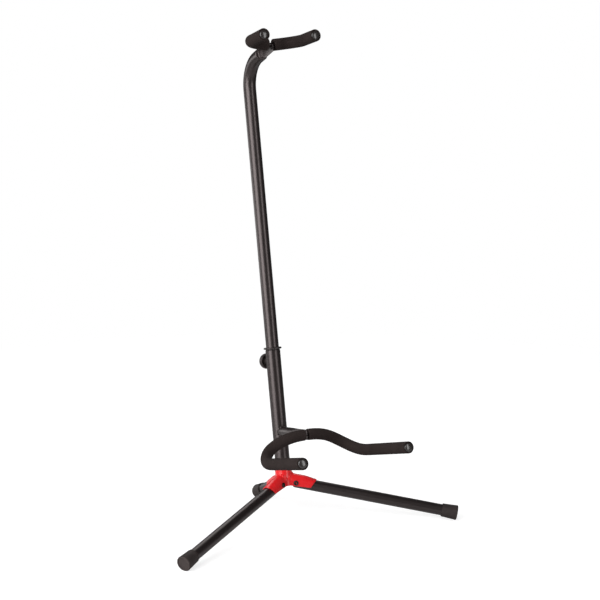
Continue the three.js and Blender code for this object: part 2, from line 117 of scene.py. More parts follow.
class PadSizes(PropertyGroup):
    rod_radius: mm("Rod radius", "Radius of the bent rods", 4)
    cradle_foam: mm("Cradle foam", "Outer radius of the cradle's foam sleeves", 9.44)
    yoke_foam: mm("Yoke foam", "Outer radius of the yoke's foam sleeves", 9.8)
    foam_edge: mm("Foam edge", "Rounding of a sleeve's cut ends", 0.7)
    cap_radius: mm("Cap radius", "Radius of an end cap's head", 7.4)
    cap_dome: mm("Cap dome", "How far an end cap stands out of its sleeve", 1.85)


class HubSizes(PropertyGroup):
    sheet: mm("Sheet", "Thickness of the red sheet metal", 1.5)
    sleeve_height: mm("Sleeve height", "Height of the red sleeve", 28)
    channel_length: mm("Channel length", "Length of a leg's channel along its top", 54.8)
    pivot: mm("Pivot", "Distance of a leg's rivet from the post's axis", 21.5)
    rivet_head: mm("Rivet head", "Radius of a rivet's head", 4.3)
    foot_length: mm("Foot length", "Length of a rubber foot", 26.5)
    foot_start: mm("Foot start", "Radius of a foot where the leg enters it", 11.1)
    foot_end: mm("Foot end", "Radius of a foot at its end", 12.6)
    knob_radius: mm("Knob radius", "Radius of the thumbscrew's grip", 13.5)


class StandColours(PropertyGroup):
    coat: tint("Black coat", "Satin black coat of the tubes", (0.0060, 0.0035, 0.0033))
    hub: tint("Hub red", "Gloss red enamel of the hub", (0.80, 0.011, 0.015))
    foam: tint("Foam", "Charcoal foam of the sleeves", (0.0290, 0.0218, 0.0204))
    cap: tint("End caps", "Gloss black plastic of the caps", (0.023, 0.019, 0.018))
    foot: tint("Feet", "Dark rubber of the feet", (0.0265, 0.0213, 0.0203))
    plastic: tint("Knob", "Dark plastic of the thumbscrew's grip", (0.026, 0.022, 0.0215))
    collar: tint("Collar", "Grey-black plastic of the post's collar", (0.026, 0.023, 0.022))
    steel: tint("Steel", "Blackened steel of the rivets and the screw", (0.045, 0.041, 0.040))
    floor: tint("Floor", "Pale floor under the stand", (0.55, 0.55, 0.55))


# ---- places and paths


def spot(sideways, forwards, height):
    """A point in the post's own frame."""
    return Vector((sideways, -forwards, height))


def between(start, end, steps):
    """Even steps from a number to another, with both ends."""
    return [start + (end - start) * i / steps for i in range(steps + 1)]


def measured(places, directions):
    """A path: a list of (place, direction, length so far)."""
    path, length = [], 0.0
    for before, place, along in zip([places[0], *places], places, directions):
        length += (place - before).length
        path.append((place, along, length))
    return path


def rounded_path(corners, radii=()):
    """Straight runs joined by arcs, as a path."""
    places, directions = [corners[0]], [(corners[1] - corners[0]).normalized()]
    for corner, before, after, radius in zip(corners[1:], corners, corners[2:], radii):
        into, out = (corner - before).normalized(), (after - corner).normalized()
        turn = into.angle(out)
        if turn < STRAIGHT:
            continue
        axis = into.cross(out).normalized()
        start = corner - into * radius * tan(turn / 2)
        centre = start + axis.cross(into) * radius
        for part in between(0, turn, max(2, ceil(turn / ARC_STEP))):
            swing = Matrix.Rotation(part, 3, axis)
            places.append(centre + swing @ (start - centre))
            directions.append(swing @ into)
    return measured([*places, corners[-1]], [*directions, (corners[-1] - corners[-2]).normalized()])


def station_at(path, length):
    """The station at a length along a path, between two of its own."""
    after = next(i for i, station in enumerate(path) if i and station[2] >= length - 1e-9)
    a, b = path[after - 1], path[after]
    share = (length - a[2]) / (b[2] - a[2])
    return a[0].lerp(b[0], share), a[1].lerp(b[1], share).normalized(), length


def with_stops(path, lengths):
    """Adds stations to a path at the given lengths along it."""
    for length in lengths:
        if all(abs(length - station[2]) >= 1e-6 for station in path):
            path = sorted([*path, station_at(path, length)], key=lambda station: station[2])
    return path


def eased(path, rounds, step=0.0025):
    """Lets a path's bends begin and end gently, by averaging its places with their neighbours."""
    total = path[-1][2]
    places = [station_at(path, length)[0] for length in between(0, total, ceil(total / step))]
    for _ in range(rounds):
        inner = [(a + 2 * b + c) / 4 for a, b, c in zip(places, places[1:], places[2:])]
        places = [places[0], *inner, places[-1]]
    pairs = zip([places[0], *places], [*places[1:], places[-1]])
    return measured(places, [(after - before).normalized() for before, after in pairs])


def hoops(path, side, size):
    """A matrix for each station that carries a unit circle there.

    The size is a radius, or gives the half width and half height at a length along the path.
    """
    places, across = [], side.copy()
    for place, along, length in path:
        across = (across - along * across.dot(along)).normalized()
        up = along.cross(across)
        wide, tall = size(length) if callable(size) else (size, size)
        turn = Matrix((across * wide, up * tall, along)).transposed().to_4x4()
        places.append(Matrix.Translation(place) @ turn)
    return places


def by_station(path, radius_at):
    """A round section whose radius goes by the number of the station."""
    radii = {station[2]: radius_at(i) for i, station in enumerate(path)}
    return lambda length: (radii[length], radii[length])


def shortened(corners, first, last):
    """The corners with the path's two ends taken in."""
    start = corners[0] + (corners[1] - corners[0]).normalized() * first
    end = corners[-1] + (corners[-2] - corners[-1]).normalized() * last
    return [start, *corners[1:-1], end]


def smooth(share):
    """A share from 0 to 1 that starts and ends gently."""
    t = min(1.0, max(0.0, share))
    return t * t * (3 - 2 * t)


# ---- shaping


def points(radius, height, *steps):
    """Points of a profile, at steps in millimetres out and up from a radius and a height."""
    return [(radius + out / 1000, height + up / 1000) for out, up in steps]


def kinds(items, kind):
    """The items of one kind in the result of a bmesh operator."""
    return [item for item in items if isinstance(item, kind)]


def loose_ends(bm):
    """The two ends of a row of edges."""
    return [vert for vert in bm.verts if len(vert.link_edges) == 1]


def move(bm, place):
    """Moves a whole shape by a matrix."""
    bmesh.ops.transform(bm, matrix=place, verts=bm.verts)


def sweep(places, sides, closed=False):
    """Carries a circle from place to place, and joins its last ring to its first or fills both."""
    bm = bmesh.new()
    start = bmesh.ops.create_circle(bm, segments=sides, radius=1.0, matrix=places[0])["verts"]
    first = ring = list(dict.fromkeys(edge for vert in start for edge in vert.link_edges))
    for here, there in zip(places, places[1:]):
        grown = bmesh.ops.extrude_edge_only(bm, edges=ring)["geom"]
        verts = set(kinds(grown, BMVert))
        ring = [edge for edge in kinds(grown, BMEdge) if set(edge.verts) <= verts]
        bmesh.ops.transform(bm, matrix=there @ here.inverted(), verts=list(verts))
    if closed:
        bmesh.ops.bridge_loops(bm, edges=first + ring)
    else:
        for end in (first, ring):
            bmesh.ops.edgeloop_fill(bm, edges=end)
    return bm


def swept_tube(path, side, outer, inner, sides=TUBE_SIDES):
    """A hollow tube: up along its outside, and back along its inside."""
    return sweep(hoops(path, side, outer) + hoops(path, side, inner)[::-1], sides, closed=True)


def swept_rod(path, side, size):
    """A solid rod with flat ends."""
    return sweep(hoops(path, side, size), ROD_SIDES)


def spun(profile, sides, place):
    """Spins a ring of (radius, height) about its own upright axis, and sets it in place."""
    bm = bmesh.new()
    verts = [bm.verts.new((radius, 0, height)) for radius, height in profile]
    pairs = zip(verts, verts[1:] + verts[:1])
    edges = [bm.edges.new(pair) for pair in pairs if pair[0].co.x or pair[1].co.x]
    bmesh.ops.spin(bm, geom=verts + edges, axis=UP, angle=2 * pi, steps=sides, use_merge=True)
    bmesh.ops.remove_doubles(bm, verts=bm.verts, dist=SAME_PLACE)
    move(bm, place)
    return bm


def standing(place, along):
    """The matrix that stands an upright shape at a place along a direction."""
    return Matrix.Translation(place) @ UP.rotation_difference(along).to_matrix().to_4x4()


def ease_edges(bm, width=CUT_EDGE, segments=3, angle=40):
    """Rounds every edge that is sharper than an angle."""
    bmesh.ops.recalc_face_normals(bm, faces=bm.faces)
    sharp = [
        edge for edge in bm.edges
        if len(edge.link_faces) == 2 and edge.calc_face_angle(0) > radians(angle)
    ]
    bmesh.ops.bevel(
        bm, geom=sharp, offset=width, offset_type="OFFSET", segments=segments, profile=0.5,
        affect="EDGES", clamp_overlap=True, material=-1,
    )


def new_object(name, bm, material):
    """Makes a shape an object of the scene."""
    mesh = bpy.data.meshes.new(name)
    bm.to_mesh(mesh)
    bm.free()
    mesh.materials.append(material)
    made = bpy.data.objects.new(name, mesh)
    bpy.context.scene.collection.objects.link(made)
    return made


def finish_piece(name, bm, slot, *nodes, body="base_frame", place=POST_FRAME, keep_flat=True):
    """Turns a shape into a piece of the stand that stands for its CAD nodes."""
    bmesh.ops.remove_doubles(bm, verts=bm.verts, dist=SAME_PLACE)
    move(bm, place)
    bmesh.ops.recalc_face_normals(bm, faces=bm.faces)
    piece = new_object(name, bm, FINISHES[slot]())
    piece.data.shade_smooth()
    piece.data.set_sharp_from_angle(angle=radians(50))
    if keep_flat:
        piece.modifiers.new("Even shading", "WEIGHTED_NORMAL").keep_sharp = True
    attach(piece, body)
    if nodes:
        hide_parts(*nodes)
    return piece


# ---- finishes


def add_node(tree, kind, inputs=(), **settings):
    """A new node, each of whose inputs gets a value or is linked to another node's output."""
    made = tree.nodes.new(kind)
    for key, value in settings.items():
        setattr(made, key, value)
    for key, value in dict(inputs).items():
        if isinstance(value, NodeSocket):
            tree.links.new(value, made.inputs[key])
        else:
            made.inputs[key].default_value = value
    return made


def by_ray(tree, level, others):
    """A number that is another one for some kinds of rays."""
    path = add_node(tree, "ShaderNodeLightPath")
    for ray, other in others:
        # In a mix of two numbers, inputs 2 and 3 are the numbers.
        inputs = {"Factor": path.outputs[ray], 2: level, 3: other}
        level = add_node(tree, "ShaderNodeMix", inputs, data_type="FLOAT").outputs[0]
    return level


def shade(colour, share):
    """A colour made darker or lighter."""
    return [min(1, c * share) for c in colour]


class Finish:
    """A material under construction, with its nodes in the piece's own coordinates."""

    def __init__(self, name, colour, roughness, metallic=0.0):
        self.material = bpy.data.materials.new(name)
        self.material.use_nodes = True
        self.tree = self.material.node_tree
        self.shader = self.tree.nodes["Principled BSDF"]
        self.set(Roughness=roughness, Metallic=metallic, Base_Color=(*colour, 1))
        self.colour = colour
        self.places = self.node("ShaderNodeTexCoord").outputs["Object"]
        self.normal = None

    def node(self, kind, inputs=(), **settings):
        return add_node(self.tree, kind, inputs, **settings)

    def drive(self, name, output):
        """Links an output to one of the shader's sockets."""
        self.tree.links.new(output, self.shader.inputs[name])

    def set(self, **values):
        for name, value in values.items():
            self.shader.inputs[name.replace("_", " ")].default_value = value
        return self

    def stretched(self, turn, scale):
        """Coordinates that are turned and stretched, for marks that run along a tube."""
        inputs = {"Rotation": turn, "Scale": scale, "Vector": self.places}
        return self.node("ShaderNodeMapping", inputs).outputs["Vector"]

    def noise(self, scale, detail, roughness=0.5, places=None):
        inputs = {"Scale": scale, "Detail": detail, "Roughness": roughness}
        inputs["Vector"] = places or self.places
        return self.node("ShaderNodeTexNoise", inputs).outputs["Fac"]

    def cells(self, scale):
        inputs = {"Scale": scale, "Vector": self.places}
        return self.node("ShaderNodeTexVoronoi", inputs, feature="SMOOTH_F1").outputs["Distance"]

    def spread(self, value, low, high, start=0.3, end=0.7):
        inputs = {"Value": value, "From Min": start, "From Max": end, "To Min": low, "To Max": high}
        return self.node("ShaderNodeMapRange", inputs).outputs["Result"]

    def blend(self, share, first, second):
        """A colour between two, each three numbers or an output."""
        first, second = (c if isinstance(c, NodeSocket) else (*c, 1) for c in (first, second))
        # In a mix of two colours, inputs 6 and 7 are the colours and output 2 is the result.
        inputs = {"Factor": share, 6: first, 7: second}
        return self.node("ShaderNodeMix", inputs, data_type="RGBA").outputs[2]

    def paint(self, tone):
        """Gives the finish a colour that varies from place to place."""
        self.tone = tone
        self.drive("Base Color", tone)

    def mottle(self, scale, darker, lighter, detail=3.0):
        """Varies the colour a little from place to place."""
        share = self.spread(self.noise(scale, detail), 0, 1)
        self.paint(self.blend(share, shade(self.colour, darker), shade(self.colour, lighter)))

    def polish(self, value, low, high):
        self.drive("Roughness", self.spread(value, low, high))

    def bump(self, value, distance, strength):
        """Lays a relief over the ones before it."""
        inputs = {"Distance": distance, "Strength": strength, "Height": value}
        if self.normal:
            inputs["Normal"] = self.normal
        self.normal = self.node("ShaderNodeBump", inputs).outputs["Normal"]
        self.drive("Normal", self.normal)


def noisy_finish(name, colour, roughness, mottle, polish, bump, metallic=0.0, **values):
    """A finish led by noise, whose mottle, polish and bump each start with the noise's scale."""
    made = Finish(name, colour, roughness, metallic)
    made.mottle(*mottle)
    made.polish(made.noise(polish[0], 3), *polish[1:])
    made.bump(made.noise(bump[0], 2), *bump[1:])
    return made.set(**values)


# The warm cast that the black finishes have in their reflections.
WARM = (1.0, 0.87, 0.865, 1.0)

# How much lighter a foot's end face is painted than its side: painted light that stands for the
# light the end face catches.
LIT_END_SHARE = 1.75


def cached(make):
    """Makes a finish once, however many pieces wear it."""
    return cache(lambda: make(bpy.context.scene.stand_colours).material)


@cached
def satin_coat(colours):
    """Satin black on steel tube: a fine orange peel, and faint marks of the drawn tube under it."""
    coat = noisy_finish(
        "satin_black_coat", colours.coat, 0.34, (45, 0.86, 1.16), (1300, 0.29, 0.40),
        (620, 0.00009, 0.55), Specular_IOR_Level=0.95, Specular_Tint=WARM,
    )
    drawn = coat.noise(1, 2, places=coat.stretched((LEAN, 0, 0), (2600, 2600, 22)))
    coat.bump(drawn, 0.00002, 0.4)
    return coat


@cached
def rod_coat(colours):
    return noisy_finish(
        "black_rod_coat", colours.coat, 0.3, (120, 0.85, 1.2), (1500, 0.24, 0.36),
        (900, 0.00006, 0.5), Specular_Tint=WARM,
    )


@cached
def red_enamel(colours):
    """Gloss red enamel on pressed sheet, a little darker here and there, with a soft ripple."""
    red = noisy_finish(
        "gloss_red_enamel", colours.hub, 0.36, (70, 0.93, 1.03), (420, 0.26, 0.38),
        (210, 0.00012, 0.5), Specular_IOR_Level=0.4, Coat_Weight=0.45, Coat_Roughness=0.13,
    )
    red.bump(red.noise(950, 1), 0.00003, 0.5)
    return red


@cached
def charcoal_foam(colours):
    """Closed-cell foam: a fine skin of cells, matte, with slow changes of tone, and painted shade
    in the hollows of the cells.
    """
    foam = Finish("charcoal_foam", colours.foam, 0.93)
    foam.mottle(38, 0.84, 1.14, 4)
    # The middles of the cells are painted darker: painted shade in the hollows that the bump below
    # also makes.
    pit_shade = foam.spread(foam.cells(1150), 0.62, 1.08, 0.15, 0.6)
    foam.paint(foam.blend(pit_shade, shade(colours.foam, 0.55), foam.tone))
    foam.polish(foam.noise(700, 2), 0.86, 0.99)
    foam.bump(foam.cells(1150), 0.00028, 0.7)
    foam.bump(foam.noise(260, 3), 0.0003, 0.35)
    return foam.set(Specular_IOR_Level=0.12, Specular_Tint=WARM)


@cached
def gloss_plastic(colours):
    return noisy_finish(
        "gloss_black_plastic", colours.cap, 0.18, (300, 0.9, 1.15), (500, 0.18, 0.26),
        (260, 0.00003, 0.3), Specular_IOR_Level=0.95,
    )


def rubber_finish(name, colour, dust):
    """Dark rubber with a dusty bloom and the fine grain of its mould."""
    rubber = Finish(name, colour, 0.62)
    rubber.mottle(90, 0.82, 1.2, 4)
    bloom = rubber.spread(rubber.noise(34, 5, 0.6), 0.0, dust, 0.45, 0.75)
    rubber.paint(rubber.blend(bloom, rubber.tone, shade(colour, 1.9)))
    rubber.polish(rubber.noise(900, 2), 0.52, 0.72)
    rubber.bump(rubber.noise(1500, 2), 0.00009, 0.6)
    return rubber.set(Specular_IOR_Level=0.35, Specular_Tint=WARM)


@cached
def foot_rubber(colours):
    return rubber_finish("dark_rubber", colours.foot, 0.3)


@cached
def lit_end_rubber(colours):
    """The end faces of the feet and the tops of their rims, painted lighter than the sides: painted
    light on the faces, and a painted highlight along the rims.
    """
    return rubber_finish("lit_end_rubber", shade(colours.foot, LIT_END_SHARE), 0.4)


@cached
def knob_plastic(colours):
    return noisy_finish(
        "knob_plastic", colours.plastic, 0.44, (160, 0.86, 1.15), (800, 0.38, 0.5),
        (1800, 0.00007, 0.6), Specular_IOR_Level=0.5, Specular_Tint=WARM,
    )


@cached
def collar_plastic(colours):
    return noisy_finish(
        "collar_plastic", colours.collar, 0.4, (200, 0.88, 1.12), (900, 0.34, 0.46),
        (1600, 0.00006, 0.6), Specular_Tint=WARM,
    )


@cached
def black_steel(colours):
    """Blackened steel, worn a little brighter here and there."""
    steel = noisy_finish(
        "blackened_steel", colours.steel, 0.32, (240, 0.6, 1.25, 4), (600, 0.24, 0.42),
        (1100, 0.00005, 0.6), metallic=0.9,
    )
    worn = steel.spread(steel.noise(420, 4, 0.65), 0.0, 1.0, 0.62, 0.72)
    steel.paint(steel.blend(worn, steel.tone, shade(colours.steel, 2.4)))
    return steel


# The finish of each slot.
FINISHES = {
    "black_paint": satin_coat, "rod_paint": rod_coat, "red_paint": red_enamel,
    "foam": charcoal_foam, "gloss_cap": gloss_plastic, "foot_rubber": foot_rubber,
    "knob_plastic": knob_plastic, "collar_plastic": collar_plastic,
    "screw_steel": black_steel, "rivet_steel": black_steel,
}


# ---- shared shapes

# The arms of the two bent rods, as (sideways, forwards, height) in metres from the middle to the
# tip, with the bend at the middle, the bends further out, the gap between the two sleeves, how
# often the bends are eased, and the body that each rod rides on.
BENT_RODS = {
    "cradle": {
        "arm": (
            (0, 0.0973, 0.0831), (0.0317, 0.0973, 0.0831), (0.0666, 0.0866, 0.0651),
            (0.0866, 0.116, 0.0475), (0.093, 0.2646, 0.0611),
        ),
        "middle": 0.088, "bends": (0.088, 0.026, 0.055),
        "gap": 0.0065, "easing": 16, "body": "base_frame",
    },
    "yoke": {
        "arm": (
            (0, 0.0935, 0.7264), (0.039, 0.0935, 0.7312), (0.0439, 0.121, 0.7283),
            (0.046, 0.1668, 0.727),
        ),
        "middle": 0.012, "bends": (0.0212, 0.0274),
        "gap": 0.011, "easing": 3, "body": "mast",
    },
}

CAP_HEAD_DEPTH = 0.0026
CAP_CUP_RADIUS = 0.0054
CAP_CUP_DEPTH = 0.012


def arm_corners(rod, sign):
    """The corners of one arm, from the middle to the tip."""
    return [spot(sign * sideways, forwards, height) for sideways, forwards, height in rod["arm"]]


def pressed(sides, height, radius, wall, half_height):
    """A tube's half width and half height when each of them is pressed by its share."""
    wide = radius + (wall + GAP / 2 - radius) * sides
    return wide, radius + (half_height - radius) * height


def shaped_tube(path, size, wall):
    """A tube with an even wall, whose half width and half height go by the length along it."""

    def section(inset):
        return lambda length: [half - inset for half in size(length)]

    return swept_tube(path, SIDEWAYS, section(0), section(wall))


def each_arm():
    """Each sleeve's rod, with the rod's name, the sleeve's side and its corners."""
    for name, rod in BENT_RODS.items():
        for side, sign in SIDES.items():
            yield name, rod, side, arm_corners(rod, sign)


# ---- the pieces


class STAND_OT_post(Operator):
    """Build the post and the plastic collar on its top edge"""

    bl_idname = "stand.post"
    bl_label = "Post and Collar"

    flange = 0.0027

    def execute(self, context):
        tubes = context.scene.stand_tubes
        radius = tubes.post_radius
        path = rounded_path([spot(0, 0, tubes.post_bottom), spot(0, 0, tubes.post_top)])
        bm = swept_tube(path, SIDEWAYS, radius, radius - tubes.wall)
        ease_edges(bm)
        finish_piece("post_tube", bm, "black_paint", "lower_tube")

        bore, neck, outer = tubes.mast_radius + GAP, radius - 0.0005, radius + self.flange
        profile = [
            (bore, 0), *points(neck, 0, (0, 0), (0, 1.5)),
            *points(outer, 0, (-0.4, 1.6), (0, 2.4), (-0.1, 4.1), (-1, 4.6)), (bore, 0.0046),
        ]
        bm = spun(profile, TUBE_SIDES, standing(spot(0, 0, tubes.post_top + GAP), UP))
        ease_edges(bm, angle=25)
        finish_piece("post_collar", bm, "collar_plastic", "tube_collar")
        return {"FINISHED"}


class STAND_OT_clamp(Operator):
    """Build the boss behind the post, and the thumbscrew with its grip"""

    bl_idname = "stand.clamp"
    bl_label = "Thumbscrew"

    height = 0.204
    boss_radius = 0.007
    boss_end = 0.0175
    boss_edge = 0.0007
    screw_radius = 0.003
    knob_start = 0.0184
    neck_radius = 0.0065
    neck_length = 0.0042
    knob_thickness = 0.0132
    knob_hollow = 0.0028
    socket_depth = 0.009
    thread_pitch = 0.001
    thread_depth = 0.0004
    flutes = 36
    # A flute's depth as a share of the knob's radius.
    flute_depth = 0.012

    def execute(self, context):
        tubes, hub = context.scene.stand_tubes, context.scene.stand_hub
        at = spot(0, 0, self.height)

        path = rounded_path([at, at + BACK * self.boss_end])
        bore = self.screw_radius + GAP
        bm = swept_tube(path, SIDEWAYS, self.boss_radius, bore, SMALL_SIDES)
        for vert in bm.verts:
            if vert.co.y < self.boss_end / 2:
                level = sqrt((tubes.post_radius + GAP) ** 2 - vert.co.x**2)
                vert.co.y = level - 2 * GAP
        ease_edges(bm, self.boss_edge)
        finish_piece("clamp_nut", bm, "black_paint", "clamp_boss")

        start, end = tubes.mast_radius + GAP, self.knob_start + self.socket_depth - GAP
        turns = int((end - start) / self.thread_pitch)
        stops = [*(start + self.thread_pitch * step / 2 for step in range(2 * turns)), end]
        path = [(at + BACK * distance, BACK, distance) for distance in stops]
        size = by_station(path, lambda i: self.screw_radius - self.thread_depth * (i % 2))
        bm = swept_rod(path, SIDEWAYS, size)
        finish_piece("clamp_thread", bm, "screw_steel", "clamp_screw", body="clamp_screw")

        knob, thick, face = hub.knob_radius, self.knob_thickness, self.neck_length
        neck, sunk = self.neck_radius, face + self.knob_hollow
        profile = [
            (bore, 0), *points(neck, 0, (-0.8, 0), (-0.2, 0.5), (0, 1.2)),
            *points(neck, sunk, (0, -0.8), (0.6, 0)), *points(knob, sunk, (-3.6, 0), (-3, -0.8)),
            *points(knob, face, (-2.8, 0.3), (-2.2, -0.2), (-1.3, 0), (-0.3, 0.9), (0, 2)),
            *points(knob, thick, (0, -2.2), (-0.4, -1), (-1.8, -0.1), (-3, 0), (-4.2, -0.6)),
            *points(knob * 0.4, thick, (0, -0.9)), *points(0, thick, (0, -0.9)),
            (0, self.socket_depth), (bore, self.socket_depth),
        ]
        bm = spun(profile, 4 * self.flutes, Matrix.Identity(4))
        for vert in bm.verts:
            on_rim = vert.co.xy.length > knob - 0.0006
            if on_rim and face + 0.0005 < vert.co.z < thick - 0.0005:
                turn = atan2(vert.co.y, vert.co.x)
                vert.co.xy *= 1 - self.flute_depth * (0.5 - 0.5 * cos(self.flutes * turn))
        move(bm, standing(at + BACK * self.knob_start, BACK))
        finish_piece("clamp_grip", bm, "knob_plastic", "clamp_knob", body="clamp_knob")
        return {"FINISHED"}


class STAND_OT_mast(Operator):
    """Build the mast, bent forwards and pressed to an upright tongue at its top"""

    bl_idname = "stand.mast"
    bl_label = "Mast"

    bend_angle: FloatProperty(
        name="Bend", description="How far the mast's top bends forwards",
        default=radians(81.3), subtype="ANGLE",
    )

    yoke_reach = 0.0935
    yoke_height = 0.7264
    below_rod = 0.0012
    past_rod = 0.0075
    flat_start = 0.0245
    flat_length = 0.0286
    crease_start = 0.0445
    crease_length = 0.0026
    crease_share = 0.45
    taper_length = 0.016
    bend_flattening = 0.0002
    half_height = 0.012
    # The last 9 mm before the rod are cut level with it, in a step of 0.4 mm.
    saddle = 0.009
    step_half = 0.0002

    def execute(self, context):
        tubes = context.scene.stand_tubes
        slope = tan(pi / 2 - self.bend_angle)
        top = spot(0, 0, self.yoke_height - self.below_rod - self.yoke_reach * slope)
        reach = self.yoke_reach + self.past_rod
        corners = [spot(0, 0, tubes.mast_bottom), top, top + spot(0, reach, reach * slope)]
        path = rounded_path(corners, [tubes.mast_bend])
        tip, bend = path[-1][2], path[1][2]
        finish, crease = tip - self.flat_start, tip - self.crease_start
        start = finish - self.flat_length
        step = tip - self.saddle - self.past_rod
        path = with_stops(path, [
            *between(start, finish, 30), step - self.step_half, step + self.step_half,
            *between(finish, tip, 6)[1:-1], *between(crease, crease + self.crease_length, 10),
            *between(crease, crease + self.taper_length, 10)[3:],
        ])

        def size(length):
            past = length - crease
            sides = self.crease_share * smooth(past / self.crease_length)
            sides += (1 - self.crease_share) * smooth(past / self.taper_length)
            height = smooth((length - start) / self.flat_length)
            wide, tall = pressed(sides, height, tubes.mast_radius, tubes.wall, self.half_height)
            # The bend flattens the tube a little, from 8 mm before it to 4 mm into it.
            return wide, tall - self.bend_flattening * smooth((length - bend + 0.008) / 0.012)

        bm = shaped_tube(path, size, tubes.wall)
        for vert in bm.verts:
            if -vert.co.y > self.yoke_reach - self.saddle:
                vert.co.z = min(vert.co.z, self.yoke_height)
        ease_edges(bm, segments=2, angle=60)
        finish_piece("mast_tube", bm, "black_paint", "upper_tube", body="mast")
        return {"FINISHED"}


class STAND_OT_bent_rods(Operator):
    """Build the bent rods of the cradle and of the yoke"""

    bl_idname = "stand.bent_rods"
    bl_label = "Bent Rods"

    edge = 0.0004

    def execute(self, context):
        pads = context.scene.stand_pads
        inset = CAP_HEAD_DEPTH + GAP
        for name, rod in BENT_RODS.items():
            left, right = arm_corners(rod, -1), arm_corners(rod, 1)
            corners = shortened([*left[:0:-1], *right], inset, inset)
            bends = [*reversed(rod["bends"]), rod["middle"], *rod["bends"]]
            path = eased(rounded_path(corners, bends), rod["easing"])
            bm = swept_rod(path, UP, pads.rod_radius)
            ease_edges(bm, self.edge)
            finish_piece(f"{name}_bar", bm, "rod_paint", f"{name}_rod", body=rod["body"])
        return {"FINISHED"}


class STAND_OT_sleeves(Operator):
    """Build the foam sleeves of the cradle and of the yoke"""

    bl_idname = "stand.sleeves"
    bl_label = "Foam Sleeves"

    seat_step = 0.0001

    def execute(self, context):
        pads = context.scene.stand_pads
        head, bore = pads.cap_radius + GAP, pads.rod_radius + GAP
        thick = {"cradle": pads.cradle_foam, "yoke": pads.yoke_foam}
        for name, rod, side, corners in each_arm():
            corners = shortened(corners, rod["gap"] / 2, 0)
            path = eased(rounded_path(corners, rod["bends"]), rod["easing"])
            seat = path[-1][2] - CAP_HEAD_DEPTH - GAP
            path = with_stops(path, [seat - self.seat_step, seat])

            def inside(length, seat=seat):
                return (head, head) if length > seat - self.seat_step / 2 else (bore, bore)

            bm = swept_tube(path, UP, thick[name], inside, FOAM_SIDES)
            ease_edges(bm, pads.foam_edge, 4, 60)
            piece = finish_piece(
                f"{name}_sleeve_{side}", bm, "foam", f"{name}_foam_{side}",
                body=rod["body"], keep_flat=False,
            )
        return {"FINISHED"}


class STAND_OT_end_caps(Operator):
    """Build the glossy domed caps in the sleeves' ends"""

    bl_idname = "stand.end_caps"
    bl_label = "End Caps"

    dome_shares = ((0.93, 0.24), (0.82, 0.5), (0.66, 0.73), (0.46, 0.88), (0.24, 0.97))

    def execute(self, context):
        pads = context.scene.stand_pads
        head, dome, bore = pads.cap_radius, pads.cap_dome, pads.rod_radius + GAP
        profile = [
            (bore, -CAP_CUP_DEPTH), (CAP_CUP_RADIUS, -CAP_CUP_DEPTH),
            (CAP_CUP_RADIUS, -CAP_HEAD_DEPTH), (head, -CAP_HEAD_DEPTH),
            (head, -0.0009), (head * 0.985, -0.0003),
            *((head * radius, dome * height) for radius, height in self.dome_shares),
            (0, dome), (0, GAP - CAP_HEAD_DEPTH), (bore, GAP - CAP_HEAD_DEPTH),
        ]
        for name, rod, side, corners in each_arm():
            place = standing(corners[-1], (corners[-1] - corners[-2]).normalized())
            finish_piece(
                f"{name}_plug_{side}", spun(profile, SMALL_SIDES, place), "gloss_cap",
                f"{name}_cap_{side}", body=rod["body"], keep_flat=False,
            )
        return {"FINISHED"}


class STAND_OT_cradle_bracket(Operator):
    """Build the short tube that carries the cradle, with its weld on the post"""

    bl_idname = "stand.cradle_bracket"
    bl_label = "Cradle Bracket"

    radius = 0.009
    height = 0.0829
    rod_height = 0.0831
    rod_reach = 0.0973
    past_rod = 0.0035
    flat_start = 0.038
    flat_length = 0.045
    half_height = 0.0086
    # How far the tube's end goes into the post, and the radius of its weld.
    root = 0.0004
    weld_radius = 0.0013

    def execute(self, context):
        tubes = context.scene.stand_tubes
        radius, post = self.radius, tubes.post_radius
        flat_end, tip = self.flat_start + self.flat_length, self.rod_reach + self.past_rod
        reaches = [0, *between(self.flat_start, flat_end, 40), self.rod_reach, tip]

        def share(reach):
            return smooth((reach - self.flat_start) / self.flat_length)

        def size(reach):
            return pressed(share(reach), share(reach), radius, tubes.wall, self.half_height)

        rise = self.rod_height - self.height
        path = [(spot(0, r, self.height + rise * share(r)), FORWARD, r) for r in reaches]
        bm = shaped_tube(path, size, tubes.wall)
        for vert in bm.verts:
            if -vert.co.y < post / 2:
                vert.co.y = -sqrt((post - self.root) ** 2 - vert.co.x**2)
        ease_edges(bm, segments=2, angle=60)
        finish_piece("cradle_arm", bm, "black_paint", "cradle_bracket")

        line = []
        for angle in between(0, 2 * pi, 96)[:-1]:
            uneven = radius * (1 + 0.018 * sin(23 * angle) + 0.01 * sin(11 * angle + 1))
            sideways, up = uneven * cos(angle), uneven * sin(angle)
            forwards = sqrt(max(0.0, post**2 - sideways**2))
            line.append(spot(sideways, forwards, self.height + up))
        bm = bead(line, self.weld_radius, True)
        finish_piece("cradle_weld", bm, "black_paint", keep_flat=False)
        return {"FINISHED"}


# A leg's own frame: +X runs out along the leg, +Y is across it, and +Z is its upper side. Half the
# angle between two legs is HALF_TURN.
LEG_DROP = radians(15.4)
HALF_TURN = radians(60)
LEG_GAP = 0.0005
FOOT_BASE = 0.003


def leg_frame(name):
    turn = Matrix.Rotation(radians(LEG_ANGLES[name]), 4, "Z")
    return turn @ Matrix.Rotation(LEG_DROP, 4, "Y")


def each_leg(tubes):
    """Each leg's name, its place, and its length from the post's axis."""
    for name in LEG_ANGLES:
        length = tubes.rear_leg if name == "rear" else tubes.front_leg
        yield name, POST_FRAME @ leg_frame(name), length


def out_to(level, up):
    """How far along a leg a point lies that is so far from the post's axis and above the leg's."""
    return (level - up * sin(LEG_DROP)) / cos(LEG_DROP)


def on_post(across, up, radius):
    """How far along a leg its line at (across, up) leaves a cylinder around the post."""
    return out_to(sqrt(max(0.0, radius**2 - across**2)), up)


